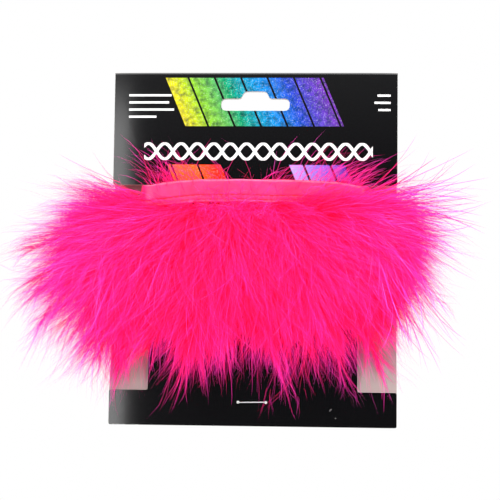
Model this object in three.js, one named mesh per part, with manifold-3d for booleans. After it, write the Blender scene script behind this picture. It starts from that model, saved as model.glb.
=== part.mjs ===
// Marabou feather trim wound on a folded hang card.
//
// Millimetres, +Z up, front towards -Y. The origin is the hook point, at the
// top of the hang slot's crown, so everything hangs below it. Heights inside
// this file are measured from the card's bottom edge and the whole assembly is
// lowered by the hook's height at the end.

import * as THREE from "three";
import { mergeVertices } from "three/addons/utils/BufferGeometryUtils.js";
import Module from "manifold-3d";

const wasm = await Module();
wasm.setup();

// ---------- driving dimensions ----------

// card, one sheet of board folded at the top
const cardWidth = 133;
const cardHeight = 165;
const board = 0.5;
const cornerRadius = 1;
const creaseGap = 0.3;

// waist that the trim is wound on
const waistWidth = 97;
const notchTop = 111.6;
const notchBottom = 16.3;
const notchRadius = 0.8;

// euro hang slot through both halves
const slotWidth = 32;
const slotBottom = 147;
const slotHeight = 5.6;
const crownWidth = 10.4;
const crownHeight = 3.4;
const crownFlare = 1.5;
const slotRadius = 2.4;
const shoulderRadius = 1.2;
const crownRadius = 1.6;
const hookHeight = slotBottom + slotHeight + crownHeight;

// rear half: depth behind the front half, from the crease to the bottom edge
const rearBow = [
  [cardHeight, 0],
  [150, 0.9],
  [132, 3],
  [112, 6.4],
  [90, 8.6],
  [66, 8.9],
  [44, 6.8],
  [28, 3.2],
  [16, 0.5],
  [0, 0],
];

// staple
const stapleWidth = 13.4;
const wire = 0.6;
const stapleHeight = 11;
const stapleStandoff = 0.1;
const stapleCorner = 0.7;
const legLength = 3.4;
const legClearance = 0.3;

// how far the hole cutters reach each way, past both halves where the holes are
const cutterReach = 5;

// ribbon, wound outwards as a flat spiral
const ribbonLength = 914;
const ribbonHeight = 10.3;
const ribbonThickness = 0.34;
const layerPitch = 0.9;
const ribbonBottom = 100.8;
const ribbonArch = 2.8;
const firstLayerGap = 0.35;
const threadThickness = 0.18;
const threadHeight = 0.5;
const threadGap = 0.05;
const upperStitch = 2.8;
const lowerStitch = 0.9;

// plumes
const plumeGap = 0.5;
const rootDrop = 1.1;
const frontTufts = 8;
const rearTufts = 8;
const sideTufts = 3;

// ---------- helpers ----------

function material(color, roughness, metalness = 0) {
  return new THREE.MeshStandardMaterial({ color, roughness, metalness });
}

function mesh(name, geometry, look) {
  const piece = new THREE.Mesh(geometry, look);
  piece.name = name;
  return piece;
}

function toSolid(geometry) {
  const plain = geometry.clone();
  plain.deleteAttribute("normal");
  plain.deleteAttribute("uv");
  const merged = mergeVertices(plain, 1e-5);
  return new wasm.Manifold(new wasm.Mesh({
    numProp: 3,
    vertProperties: new Float32Array(merged.attributes.position.array),
    triVerts: new Uint32Array(merged.index.array),
  }));
}

function toGeometry(solid) {
  const result = solid.getMesh();
  const geometry = new THREE.BufferGeometry();
  geometry.setAttribute("position", new THREE.BufferAttribute(result.vertProperties, 3));
  geometry.setIndex(new THREE.BufferAttribute(result.triVerts, 1));
  geometry.computeVertexNormals();
  return geometry;
}

// A shape drawn in (x, height), extruded to run from y = front to y = back.
function extrudeToBack(shape, front, back, curveSegments = 5) {
  const geometry = new THREE.ExtrudeGeometry(shape, {
    depth: back - front,
    bevelEnabled: false,
    curveSegments,
  });
  geometry.rotateX(Math.PI / 2);
  geometry.translate(0, back, 0);
  return geometry;
}

// A closed outline whose corners are rounded: each corner is [x, z, radius].
function roundedShape(corners) {
  const shape = new THREE.Shape();
  corners.forEach(([x, z, radius], i) => {
    const here = new THREE.Vector2(x, z);
    const before = new THREE.Vector2(...corners.at(i - 1).slice(0, 2));
    const after = new THREE.Vector2(...corners[(i + 1) % corners.length].slice(0, 2));
    const start = here.clone().add(before.sub(here).setLength(radius));
    const end = here.clone().add(after.sub(here).setLength(radius));
    if (i === 0) shape.moveTo(start.x, start.y);
    else shape.lineTo(start.x, start.y);
    if (radius > 0) shape.quadraticCurveTo(x, z, end.x, end.y);
  });
  shape.closePath();
  return shape;
}

function mix(a, b, share) {
  return a + (b - a) * share;
}

// A box cut into a grid, whose points are carried to their places by a
// function of three shares from 0 to 1: along x, along y and along z. The
// function keeps the box's handedness, so the faces still point outwards.
function carriedBox(xSteps, ySteps, zSteps, place) {
  const geometry = new THREE.BoxGeometry(1, 1, 1, xSteps, ySteps, zSteps);
  const position = geometry.attributes.position;
  for (let i = 0; i < position.count; i++) {
    const shares = [position.getX(i) + 0.5, position.getY(i) + 0.5, position.getZ(i) + 0.5];
    position.setXYZ(i, ...place(...shares));
  }
  geometry.computeVertexNormals();
  return geometry;
}

// ---------- card ----------

function slotShape() {
  const half = slotWidth / 2;
  const crown = crownWidth / 2;
  const shoulder = slotBottom + slotHeight;
  return roundedShape([
    [-half, slotBottom, slotRadius],
    [half, slotBottom, slotRadius],
    [half, shoulder, slotRadius],
    [crown + crownFlare, shoulder, shoulderRadius],
    [crown, hookHeight, crownRadius],
    [-crown, hookHeight, crownRadius],
    [-crown - crownFlare, shoulder, shoulderRadius],
    [-half, shoulder, slotRadius],
  ]);
}

function frontOutline() {
  const edge = cardWidth / 2;
  const waist = waistWidth / 2;
  return roundedShape([
    [-edge, 0, cornerRadius],
    [edge, 0, cornerRadius],
    [edge, notchBottom, cornerRadius],
    [waist, notchBottom, notchRadius],
    [waist, notchTop, notchRadius],
    [edge, notchTop, cornerRadius],
    [edge, cardHeight, 0],
    [-edge, cardHeight, 0],
    [-edge, notchTop, cornerRadius],
    [-waist, notchTop, notchRadius],
    [-waist, notchBottom, notchRadius],
    [-edge, notchBottom, cornerRadius],
  ]);
}

function holeCutters() {
  const cutters = [toSolid(extrudeToBack(slotShape(), -cutterReach, cutterReach))];
  const radius = wire / 2 + legClearance;
  for (const side of [-1, 1]) {
    const hole = new THREE.CylinderGeometry(radius, radius, 2 * cutterReach, 12);
    hole.translate(side * (stapleWidth - wire) / 2, 0, stapleHeight);
    cutters.push(toSolid(hole));
  }
  return cutters;
}

const cutters = holeCutters();

function withHoles(geometry) {
  return toGeometry(cutters.reduce((left, cutter) => left.subtract(cutter), toSolid(geometry)));
}

const boardLook = material(0x0f0f0f, 0.25);

const frontPanel = mesh("front_panel", withHoles(extrudeToBack(frontOutline(), 0, board)), boardLook);

const rearFront = board + creaseGap;

function rearDepth(height) {
  const i = rearBow.findIndex(([z]) => z <= height);
  if (i <= 0) return rearBow[0][1];
  const [highZ, highDepth] = rearBow[i - 1];
  const [lowZ, lowDepth] = rearBow[i];
  return lowDepth + (highDepth - lowDepth) * (height - lowZ) / (highZ - lowZ);
}

// The bowed strip is drawn in (depth, height) and extruded across the card.
function rearStrip() {
  const shape = new THREE.Shape();
  rearBow.forEach(([z, depth], i) => {
    if (i === 0) shape.moveTo(rearFront + depth, z);
    else shape.lineTo(rearFront + depth, z);
  });
  [...rearBow].reverse().forEach(([z, depth]) => shape.lineTo(rearFront + depth + board, z));
  shape.closePath();
  const geometry = new THREE.ExtrudeGeometry(shape, { depth: cardWidth, bevelEnabled: false });
  // shape x -> y, shape y -> z, extrusion -> x
  geometry.applyMatrix4(new THREE.Matrix4().set(
    0, 0, 1, -cardWidth / 2,
    1, 0, 0, 0,
    0, 1, 0, 0,
    0, 0, 0, 1,
  ));
  return geometry;
}

const backPanel = mesh("back_panel", withHoles(rearStrip()), boardLook);

// ---------- staple ----------

function stapleGeometry() {
  const half = (stapleWidth - wire) / 2;
  const crown = -stapleStandoff - wire / 2;
  const tip = crown + legLength;
  const bend = crown + stapleCorner;
  const inner = half - stapleCorner;
  const at = (x, y) => new THREE.Vector3(x, y, stapleHeight);
  const path = new THREE.CurvePath();
  path.add(new THREE.LineCurve3(at(-half, tip), at(-half, bend)));
  path.add(new THREE.QuadraticBezierCurve3(at(-half, bend), at(-half, crown), at(-inner, crown)));
  path.add(new THREE.LineCurve3(at(-inner, crown), at(inner, crown)));
  path.add(new THREE.QuadraticBezierCurve3(at(inner, crown), at(half, crown), at(half, bend)));
  path.add(new THREE.LineCurve3(at(half, bend), at(half, tip)));
  const section = new THREE.Shape();
  section.absarc(0, 0, wire / 2, 0, Math.PI * 2);
  return new THREE.ExtrudeGeometry(section, { steps: 60, extrudePath: path, curveSegments: 5 });
}

const staple = mesh("staple", stapleGeometry(), material(0xc9cbcd, 0.25, 1));

// ---------- ribbon and its stitching ----------

// Each turn follows the waist: straight along the front, half a circle round
// the edge, straight along the back, half a circle round the other edge. The
// distance from the board grows steadily along the way.
const edgeRadius = board / 2;
const turnSteps = 6;
const runSteps = 8;

// One lap as [x, y, nx, ny] at each step, starting behind the card's middle.
function lapPoints() {
  const waist = waistWidth / 2;
  const half = runSteps / 2;
  const points = [];
  for (let i = 0; i < half; i++) points.push([waist * i / half, edgeRadius, 0, 1]);
  for (let i = 0; i < turnSteps; i++) points.push(turnPoint(waist, 90 - 180 * i / turnSteps));
  for (let i = 0; i < runSteps; i++) points.push([waist - waistWidth * i / runSteps, -edgeRadius, 0, -1]);
  for (let i = 0; i < turnSteps; i++) points.push(turnPoint(-waist, -90 - 180 * i / turnSteps));
  for (let i = 0; i < half; i++) points.push([-waist + waist * i / half, edgeRadius, 0, 1]);
  return points;
}

function turnPoint(centre, degrees) {
  const nx = Math.cos(THREE.MathUtils.degToRad(degrees));
  const ny = Math.sin(THREE.MathUtils.degToRad(degrees));
  return [centre + nx * edgeRadius, ny * edgeRadius, nx, ny];
}

// Walks lap after lap, moving outwards, until the ribbon's length is used.
function windingPath() {
  const lap = lapPoints();
  const path = [];
  let used = 0;
  for (let step = 0; used < ribbonLength; step++) {
    const [x, y, nx, ny] = lap[step % lap.length];
    const out = firstLayerGap + ribbonThickness / 2 + layerPitch * step / lap.length;
    const point = [x + nx * out, y + ny * out, nx, ny];
    if (path.length > 0) used += Math.hypot(point[0] - path.at(-1)[0], point[1] - path.at(-1)[1]);
    path.push(point);
  }
  return path;
}

const winding = windingPath();

// A strip that follows the winding, offset outwards from the ribbon's middle.
function windingStrip(offset, thickness, low, high) {
  const steps = winding.length - 1;
  return carriedBox(steps, 1, 1, (along, outwards, up) => {
    const [x, y, nx, ny] = winding[Math.round(along * steps)];
    const distance = offset + thickness * (outwards - 0.5);
    return [x + nx * distance, y + ny * distance + board / 2, mix(low, high, up) + archRise(x)];
  });
}

// The winding is pulled up in the middle of each face and lies lower where it
// goes round the waist's edges.
function archRise(x) {
  const share = Math.min(1, Math.abs(x) / (waistWidth / 2));
  return ribbonArch * (1 - share ** 4);
}

const ribbonTop = ribbonBottom + ribbonHeight;
const threadOffset = ribbonThickness / 2 + threadThickness / 2 + threadGap;
const satin = material(0xff4a98, 0.35);
const thread = material(0xd8145f, 0.6);

function stitchRow(name, height) {
  const low = ribbonBottom + height;
  return mesh(name, windingStrip(threadOffset, threadThickness, low, low + threadHeight), thread);
}

const ribbon = mesh("satin_ribbon", windingStrip(0, ribbonThickness, ribbonBottom, ribbonTop), satin);
const stitches = [
  stitchRow("stitch_row_upper", upperStitch),
  stitchRow("stitch_row_lower", lowerStitch),
];

// ---------- plumes ----------

const plumeLook = material(0xff2c82, 0.9);

// A tuft's points are placed by (across, through, along): from 0 at one side,
// the front and the root to 1 at the other side, the back and the tips.
function tuft(name, place) {
  const geometry = carriedBox(2, 2, 6, (across, through, up) => place(across, through, 1 - up));
  return mesh(name, geometry, plumeLook);
}

// Swells from the root to a crest past the middle and falls off to the tips.
const swellStart = 0.02;
const swellPace = 0.85;

function swell(along, { root, crest, tip }) {
  const share = Math.sin(Math.PI * (swellStart + swellPace * along));
  return mix(root, tip, along) + (crest - mix(root, tip, 0.5)) * share;
}

const frontRoot = 46;
const frontTip = { left: -66, right: 48 };
const frontTipHeight = { left: 19, middle: 13.5, right: 30 };
const frontDepth = { root: 4.2, crest: 27, tip: 12 };

function frontTipZ(share) {
  const { left, middle, right } = frontTipHeight;
  return share < 0.5 ? mix(left, middle, share * 2) : mix(middle, right, (share * 2 - 1) ** 2);
}

function frontTuft(index) {
  return tuft(`front_plumes_${index + 1}`, (across, through, along) => {
    const share = (index + across) / frontTufts;
    const rootX = mix(-frontRoot, frontRoot, share);
    const tipX = mix(frontTip.left, frontTip.right, share);
    const gap = mix(plumeGap / 2, -plumeGap / 2, across);
    const x = mix(rootX, tipX, along) + gap;
    const rootZ = ribbonBottom + archRise(rootX) - rootDrop;
    const z = mix(rootZ, frontTipZ(share), along);
    const front = -swell(along, frontDepth);
    const y = mix(front, -plumeGap, through);
    return [x, y, z];
  });
}

const rearRoot = 45;
const rearTip = 47;
const rearTipHeight = 22;
const rearGap = 0.4;

function rearTuft(index) {
  return tuft(`rear_plumes_${index + 1}`, (across, through, along) => {
    const share = (index + across) / rearTufts;
    const rootX = mix(-rearRoot, rearRoot, share);
    const gap = mix(plumeGap / 2, -plumeGap / 2, across);
    const x = mix(rootX, mix(-rearTip, rearTip, share), along) + gap;
    const rootZ = ribbonBottom - rootDrop;
    const z = mix(rootZ, rearTipHeight, along);
    const near = board + rearGap;
    const far = rearFront + rearDepth(z) - plumeGap;
    return [x, mix(near, far, through), z];
  });
}

// Side tufts fan out from the turns of the ribbon. Directions are degrees below
// the horizontal; reach is the plume length at each direction.
const fanCentre = { x: 50, z: 103.5 };
const fanInner = 5.2;
const leftFan = { from: -4, to: 78, reach: [62, 73, 82, 88] };
const rightFan = { from: -4, to: 74, reach: [62, 65, 68, 68] };
const sideFront = { root: 4, crest: 19, tip: 13 };
const sideBack = { root: 4, crest: 7, tip: 6 };
const sideGap = 0.8;

function sideTuft(name, side, fan, index) {
  return tuft(name, (across, through, along) => {
    const share = (index + across) / sideTufts;
    const angle = THREE.MathUtils.degToRad(mix(fan.from, fan.to, share));
    const reach = mix(fan.reach[index], fan.reach[index + 1], across);
    const radius = mix(fanInner, reach, along);
    const gap = mix(plumeGap / 2, -plumeGap / 2, across);
    const x = side * (fanCentre.x + radius * Math.cos(angle) - gap * Math.sin(angle));
    const z = fanCentre.z - radius * Math.sin(angle) - gap * Math.cos(angle);
    const front = -swell(along, sideFront);
    const back = Math.min(swell(along, sideBack), rearFront + rearDepth(z) - sideGap);
    return [x, mix(front, back, side > 0 ? 1 - through : through), z];
  });
}

const plumes = [];
for (let i = 0; i < frontTufts; i++) plumes.push(frontTuft(i));
for (let i = 0; i < rearTufts; i++) plumes.push(rearTuft(i));
for (let i = 0; i < sideTufts; i++) {
  plumes.push(sideTuft(`left_plumes_${i + 1}`, -1, leftFan, i));
  plumes.push(sideTuft(`right_plumes_${i + 1}`, 1, rightFan, i));
}

// ---------- assembly ----------

const object = new THREE.Group();
object.add(frontPanel, backPanel, staple, ribbon, ...stitches, ...plumes);
object.position.z = -hookHeight;
object.updateMatrixWorld(true);

export default object;
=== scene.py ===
# Marabou feather trim wound on a folded hang card, in metres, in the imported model's frame.
# Lengths inside the modelling functions are millimetres, with heights measured from the card's bottom
# edge, and to_frame turns them into the frame's metres.

import math

import bmesh
import bpy
import numpy as np
from mathutils import Matrix, Vector

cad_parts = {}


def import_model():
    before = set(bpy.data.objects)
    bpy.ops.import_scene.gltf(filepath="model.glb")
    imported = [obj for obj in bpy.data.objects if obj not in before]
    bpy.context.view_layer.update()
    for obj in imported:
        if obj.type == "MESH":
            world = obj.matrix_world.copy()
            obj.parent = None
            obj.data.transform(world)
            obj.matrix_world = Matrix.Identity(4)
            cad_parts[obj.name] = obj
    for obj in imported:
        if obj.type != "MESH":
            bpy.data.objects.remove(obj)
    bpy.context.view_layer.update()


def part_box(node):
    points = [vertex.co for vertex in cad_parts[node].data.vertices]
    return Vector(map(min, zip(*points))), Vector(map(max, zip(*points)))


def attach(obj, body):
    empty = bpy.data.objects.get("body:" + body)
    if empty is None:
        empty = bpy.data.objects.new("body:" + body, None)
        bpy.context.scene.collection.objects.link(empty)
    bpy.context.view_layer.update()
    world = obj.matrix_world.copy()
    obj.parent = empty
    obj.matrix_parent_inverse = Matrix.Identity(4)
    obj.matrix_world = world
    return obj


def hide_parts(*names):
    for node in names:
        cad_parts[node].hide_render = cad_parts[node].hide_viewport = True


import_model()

MM = 0.001
CARD_LOW, CARD_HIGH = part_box("front_panel")
CARD_BOTTOM = CARD_LOW[2]
CARD_HEIGHT = (CARD_HIGH[2] - CARD_LOW[2]) / MM
HALF_CARD = CARD_HIGH[0] / MM
BOARD = (CARD_HIGH[1] - CARD_LOW[1]) / MM
ROOT = "hang_card"


def to_frame(points):
    """Millimetres, with heights from the card's bottom edge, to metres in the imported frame."""
    return np.asarray(points, float) * MM + np.array([0.0, 0.0, CARD_BOTTOM])


# ---------------- materials


def principled(name, color, roughness, **sockets):
    """A material with one Principled shader, whose constant values are on its own sockets."""
    material = bpy.data.materials.new(name)
    material.use_nodes = True
    shader = material.node_tree.nodes["Principled BSDF"]
    shader.inputs["Base Color"].default_value = (*color, 1.0)
    shader.inputs["Roughness"].default_value = roughness
    for socket, value in sockets.items():
        shader.inputs[socket.replace("_", " ")].default_value = value
    return material


# ---------------- meshes


def mesh_object(name, vertices, faces, materials, face_slots=None):
    """An object from vertices in frame metres and polygons as lists of their corners."""
    mesh = bpy.data.meshes.new(name)
    mesh.from_pydata([tuple(v) for v in vertices], [], [tuple(f) for f in faces])
    return finish_object(name, mesh, materials, face_slots)


def finish_object(name, mesh, materials, face_slots):
    """Gives a mesh its materials and smooth shading, and puts its object in the scene."""
    for material in materials:
        mesh.materials.append(material)
    if face_slots is not None:
        mesh.polygons.foreach_set("material_index", np.asarray(face_slots, np.int32))
    mesh.polygons.foreach_set("use_smooth", np.full(len(mesh.polygons), True))
    mesh.update(calc_edges=True)
    piece = bpy.data.objects.new(name, mesh)
    bpy.context.scene.collection.objects.link(piece)
    return piece


def strand_object(name, centres, half_widths, sides, materials, slots):
    """Thin tapered strips. centres is (n, k, 3) in frame metres, half_widths (n, k), sides (n, k, 3) the
    width direction, and slots (n, k - 1) the material of each stretch. Each strip ends in a point."""
    n, k, _ = centres.shape
    offsets = sides * half_widths[..., None]
    left, right = centres - offsets, centres + offsets
    vertices = np.empty((n, 2 * k - 1, 3), np.float32)
    vertices[:, 0:-1:2] = left[:, :-1]
    vertices[:, 1::2] = right[:, :-1]
    vertices[:, -1] = centres[:, -1]
    first = np.arange(n)[:, None] * (2 * k - 1)
    step = 2 * np.arange(k - 2)[None]
    quads = (first + step)[..., None] + np.array([0, 1, 3, 2])
    tips = first + np.array([2 * k - 4, 2 * k - 3, 2 * k - 2])
    loops = np.concatenate([quads.reshape(n, -1), tips], axis=1).astype(np.int32)
    corners = np.tile(np.r_[np.full(k - 2, 4), 3], n)
    mesh = bpy.data.meshes.new(name)
    mesh.vertices.add(n * (2 * k - 1))
    mesh.vertices.foreach_set("co", vertices.ravel())
    mesh.loops.add(loops.size)
    mesh.loops.foreach_set("vertex_index", loops.ravel())
    mesh.polygons.add(n * (k - 1))
    mesh.polygons.foreach_set("loop_start", np.r_[0, np.cumsum(corners)[:-1]].astype(np.int32))
    return finish_object(name, mesh, materials, slots.ravel())


def unit(vectors):
    return vectors / np.maximum(np.linalg.norm(vectors, axis=-1, keepdims=True), 1e-9)


def rows(x, y, z):
    return np.stack([x, y, z], axis=1)


def mix(a, b, share):
    return a + (b - a) * share


def turning(first, last, u):
    """Where a curve of unit length is at u, if it sets out along first and ends along last."""
    return first * (u - u * u / 2) + last * (u * u / 2)


# ---------------- card

BLACK_INK = (0.0025, 0.0025, 0.003)
VARNISH_ROUGHNESS = 0.12
OUTER_BLACK = principled("outer_black", BLACK_INK, VARNISH_ROUGHNESS)
INNER_BOARD = principled("inner_board", (0.32, 0.265, 0.255), 0.75)
CUT_EDGE = principled("cut_edge", (0.72, 0.72, 0.68), 0.8)

SLOT_BOTTOM = 147.0
SLOT_HEIGHT = 5.6
SLOT_HALF_WIDTH = 16.0
SLOT_RADIUS = 2.4
CROWN_HALF_WIDTH = 5.2
CROWN_HEIGHT = 3.4
CROWN_FLARE = 1.5
CROWN_RADIUS = 1.6
SHOULDER_RADIUS = 1.2
NOTCH_TOP = 111.6
NOTCH_BOTTOM = 16.3
NOTCH_RADIUS = 0.8
CORNER_RADIUS = 1
HALF_WAIST = 48.5
STAPLE_HEIGHT = 11.0
STAPLE_HALF_WIDTH = 6.4
STAPLE_HOLE = 0.6
FOLD_RADIUS = 0.65
FOLD_ZONE = 0.5
CUT_BEVEL = 0.07
GRID = 3.5

# the card's sides curl back a little, from this far out
CURL_START = 46.0
FRONT_CURL = 0.55
REAR_CURL = 0.25

# front face of the rear half at the crease, and (height, depth) of its bow behind that
REAR_FACE = 0.8
REAR_BOW = [
    (0, 0), (16, 0.5), (28, 3.2), (44, 6.8), (66, 8.9),
    (90, 8.6), (112, 6.4), (132, 3), (150, 0.9), (165, 0),
]


def rear_depth(height):
    """Front face of the rear half at a height, drawn smoothly through the bow's points."""
    heights, depths = np.array(REAR_BOW, float).T
    slopes = np.gradient(depths, heights)
    h = np.clip(height, 0, heights[-1])
    i = np.clip(np.searchsorted(heights, h, side="right") - 1, 0, len(heights) - 2)
    span = heights[i + 1] - heights[i]
    u = (h - heights[i]) / span
    start, end = depths[i], depths[i + 1]
    curve = (
        start * (1 + 2 * u) * (1 - u) ** 2
        + end * u * u * (3 - 2 * u)
        + span * u * (1 - u) * (slopes[i] * (1 - u) - slopes[i + 1] * u)
    )
    return REAR_FACE + np.maximum(curve, 0)


def rounded(corners, steps=5):
    """Outline through corners given as (x, height, radius), each one rounded by a short curve."""
    points = []
    count = len(corners)
    for i, (x, z, radius) in enumerate(corners):
        here = np.array([x, z])
        if radius == 0:
            points.append(here)
            continue
        before = np.array(corners[i - 1][:2]) - here
        after = np.array(corners[(i + 1) % count][:2]) - here
        start = here + before / np.linalg.norm(before) * radius
        end = here + after / np.linalg.norm(after) * radius
        for u in np.linspace(0, 1, steps):
            points.append(start * (1 - u) ** 2 + here * 2 * u * (1 - u) + end * u * u)
    return points


def slot_outline():
    shoulder = SLOT_BOTTOM + SLOT_HEIGHT
    crown = shoulder + CROWN_HEIGHT
    half, top, flare = SLOT_HALF_WIDTH, CROWN_HALF_WIDTH, CROWN_HALF_WIDTH + CROWN_FLARE
    return rounded([
        (-half, SLOT_BOTTOM, SLOT_RADIUS), (half, SLOT_BOTTOM, SLOT_RADIUS), (half, shoulder, SLOT_RADIUS),
        (flare, shoulder, SHOULDER_RADIUS), (top, crown, CROWN_RADIUS),
        (-top, crown, CROWN_RADIUS), (-flare, shoulder, SHOULDER_RADIUS), (-half, shoulder, SLOT_RADIUS),
    ])


def front_outline():
    edge, waist = HALF_CARD, HALF_WAIST
    low, high = NOTCH_BOTTOM, NOTCH_TOP
    outer, inner = CORNER_RADIUS, NOTCH_RADIUS
    return rounded([
        (-edge, 0, outer), (edge, 0, outer), (edge, low, outer), (waist, low, inner), (waist, high, inner),
        (edge, high, outer), (edge, CARD_HEIGHT, 0), (-edge, CARD_HEIGHT, 0), (-edge, high, outer),
        (-waist, high, inner), (-waist, low, inner), (-edge, low, outer),
    ])


def rear_outline():
    edge, radius = HALF_CARD, CORNER_RADIUS
    return rounded([(-edge, 0, radius), (edge, 0, radius), (edge, CARD_HEIGHT, 0), (-edge, CARD_HEIGHT, 0)])


def staple_hole(side):
    centre = side * STAPLE_HALF_WIDTH
    angles = np.linspace(0, 2 * np.pi, 10, endpoint=False)
    return [(centre + STAPLE_HOLE * np.cos(a), STAPLE_HEIGHT + STAPLE_HOLE * np.sin(a)) for a in angles]


def board_sheet(name, outline, place, outer):
    """A die-cut half of the card: outline and holes filled, cut into a grid so that it can bow, given the
    board's thickness, with a fine bevel of bare core along every cut. place maps (x, height, share of the
    thickness) to millimetres, where share 0 is the half's outer, printed face."""
    graph = bmesh.new()
    loops = [outline, slot_outline(), staple_hole(-1), staple_hole(1)]
    for loop in loops:
        corners = [graph.verts.new((x, 0, z)) for x, z in loop]
        for i, corner in enumerate(corners):
            graph.edges.new((corners[i - 1], corner))
    bmesh.ops.triangle_fill(graph, edges=graph.edges[:], use_beauty=True)
    upright = [((x, 0, 0), (1, 0, 0)) for x in np.arange(-HALF_CARD + GRID, HALF_CARD, GRID)]
    level = [((0, 0, z), (0, 0, 1)) for z in np.arange(GRID, CARD_HEIGHT, GRID)]
    for point, normal in upright + level:
        everything = graph.verts[:] + graph.edges[:] + graph.faces[:]
        bmesh.ops.bisect_plane(graph, geom=everything, plane_co=point, plane_no=normal)
    bmesh.ops.recalc_face_normals(graph, faces=graph.faces[:])
    inset = bmesh.ops.inset_region(graph, faces=graph.faces[:], thickness=CUT_BEVEL, use_boundary=True)
    bevel_faces = set(inset["faces"])
    graph.verts.ensure_lookup_table()
    graph.faces.ensure_lookup_table()
    rim_verts = {v for e in graph.edges if e.is_boundary for v in e.verts}
    index = {v: i for i, v in enumerate(graph.verts)}
    n = len(graph.verts)
    share_bevel = CUT_BEVEL / BOARD
    outer_slot, inner_slot, edge_slot = range(3)
    vertices, faces, slots = [], [], []
    for share, edge_share in ((0.0, share_bevel), (1.0, 1 - share_bevel)):
        for v in graph.verts:
            vertices.append(place(v.co.x, v.co.z, edge_share if v in rim_verts else share))
    flip = vertices[0][1] > vertices[n][1]
    for face in graph.faces:
        corners = [index[v] for v in face.verts]
        facing = face.normal.y < 0
        near = corners if facing != flip else corners[::-1]
        far = [n + c for c in near[::-1]]
        at_fold = min(v.co.z for v in face.verts) > CARD_HEIGHT - FOLD_ZONE
        bare = face in bevel_faces and not at_fold
        faces += [near, far]
        slots += [edge_slot, edge_slot] if bare else [outer_slot, inner_slot]
    for edge in graph.edges:
        if not edge.is_boundary:
            continue
        a, b = index[edge.verts[0]], index[edge.verts[1]]
        face = edge.link_faces[0]
        corners = [index[v] for v in face.verts]
        at = corners.index(a)
        facing = face.normal.y < 0
        forward = (corners[(at + 1) % len(corners)] == b) == (facing != flip)
        faces.append([b, a, n + a, n + b] if forward else [a, b, n + b, n + a])
        at_fold = min(v.co.z for v in edge.verts) > CARD_HEIGHT - FOLD_ZONE
        slots.append(outer_slot if at_fold else edge_slot)
    graph.free()
    piece = mesh_object(name, to_frame(vertices), faces, [outer, INNER_BOARD, CUT_EDGE], slots)
    piece.data.set_sharp_from_angle(angle=math.radians(25))
    return piece


def fold_drop(height, depth_from_outside):
    """Rounds the outside of the fold: how far a point near the crease drops below the top edge."""
    reach = CARD_HEIGHT - FOLD_RADIUS
    if height <= reach:
        return 0.0
    out = FOLD_RADIUS - depth_from_outside
    top = math.sqrt(max(FOLD_RADIUS ** 2 - out ** 2, 0.0))
    return (height - reach) * (1 - top / FOLD_RADIUS)


def past_curl_start(x):
    """How far out x is, from 0 where the curl starts to 1 at the card's side."""
    return max(0.0, abs(x) - CURL_START) / (HALF_CARD - CURL_START)


def front_half():
    def place(x, z, share):
        curl = FRONT_CURL * past_curl_start(x) ** 2
        depth = share * BOARD
        return (x, curl + depth, z - fold_drop(z, depth))

    piece = board_sheet("front_card", front_outline(), place, card_print())
    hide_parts("front_panel")
    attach(piece, ROOT)


def rear_half():
    def place(x, z, share):
        curl = REAR_CURL * past_curl_start(x) ** 2 * (1 - abs(z / CARD_HEIGHT - 0.5) * 2)
        depth = share * BOARD
        face = float(rear_depth(z)) + BOARD - curl
        return (x, face - depth, z - fold_drop(z, depth))

    piece = board_sheet("rear_card", rear_outline(), place, OUTER_BLACK)
    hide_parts("back_panel")
    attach(piece, "back_flap")


# ---------------- printed front


class Shader:
    """Short names for building a material's node arithmetic."""

    def __init__(self, material):
        self.nodes = material.node_tree.nodes
        self.links = material.node_tree.links

    def math(self, operation, *values, clamp=False):
        node = self.nodes.new("ShaderNodeMath")
        node.operation = operation
        node.use_clamp = clamp
        for socket, value in zip(node.inputs, values):
            self.feed(socket, value)
        return node.outputs[0]

    def scaled(self, value, factor, offset, clamp=False):
        return self.math("MULTIPLY_ADD", value, factor, offset, clamp=clamp)

    def feed(self, socket, value):
        if isinstance(value, (int, float, tuple)):
            socket.default_value = value
        else:
            self.links.new(value, socket)

    def blend(self, share, a, b):
        node = self.nodes.new("ShaderNodeMix")
        node.data_type = "RGBA"
        self.feed(node.inputs["Factor"], share)
        self.feed(node.inputs[6], (*a, 1.0) if isinstance(a, tuple) else a)
        self.feed(node.inputs[7], (*b, 1.0) if isinstance(b, tuple) else b)
        return node.outputs[2]

    def noise(self, vector, scale, detail=3.0):
        node = self.nodes.new("ShaderNodeTexNoise")
        node.inputs["Scale"].default_value = scale
        node.inputs["Detail"].default_value = detail
        self.links.new(vector, node.inputs["Vector"])
        return node.outputs["Fac"]

    def ramp(self, value, stops):
        node = self.nodes.new("ShaderNodeValToRGB")
        elements = node.color_ramp.elements
        while len(elements) < len(stops):
            elements.new(0.5)
        for element, (position, color) in zip(elements, stops):
            element.position = position
            element.color = (*color, 1.0)
        self.links.new(value, node.inputs[0])
        return node.outputs[0]

    def inside(self, value, low, high, soft=0.12):
        """1 where value is between low and high, with a soft edge, in millimetres."""
        over = self.scaled(value, 1 / soft, -low / soft, clamp=True)
        under = self.scaled(value, -1 / soft, high / soft, clamp=True)
        return self.math("MULTIPLY", over, under)

    def patch(self, x, left, right, height, low, high):
        """1 inside a rectangle, with soft edges."""
        return self.math("MULTIPLY", self.inside(x, left, right), self.inside(height, low, high))


SLANT = 0.42
SLANT_HEIGHT = 150
STRIPE_PITCH = 6.2
STRIPE_GAP = 0.45
TOP_BAND = (139.5, 162.6)
TOP_BAND_ENDS = (-37.2, 37.2)
LOW_BAND = (113.6, 121.4)
WARM_ENDS = (-53.0, -28.0)
COOL_ENDS = (4.0, 30.0)
PLAIT_WAVE = 15.4
PLAIT_SWING = 3.6
PLAIT_HEIGHT = 127.6
PLAIT_ENDS = (-52.0, 55.0)
RULE_HALF_HEIGHT = 0.55

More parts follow.
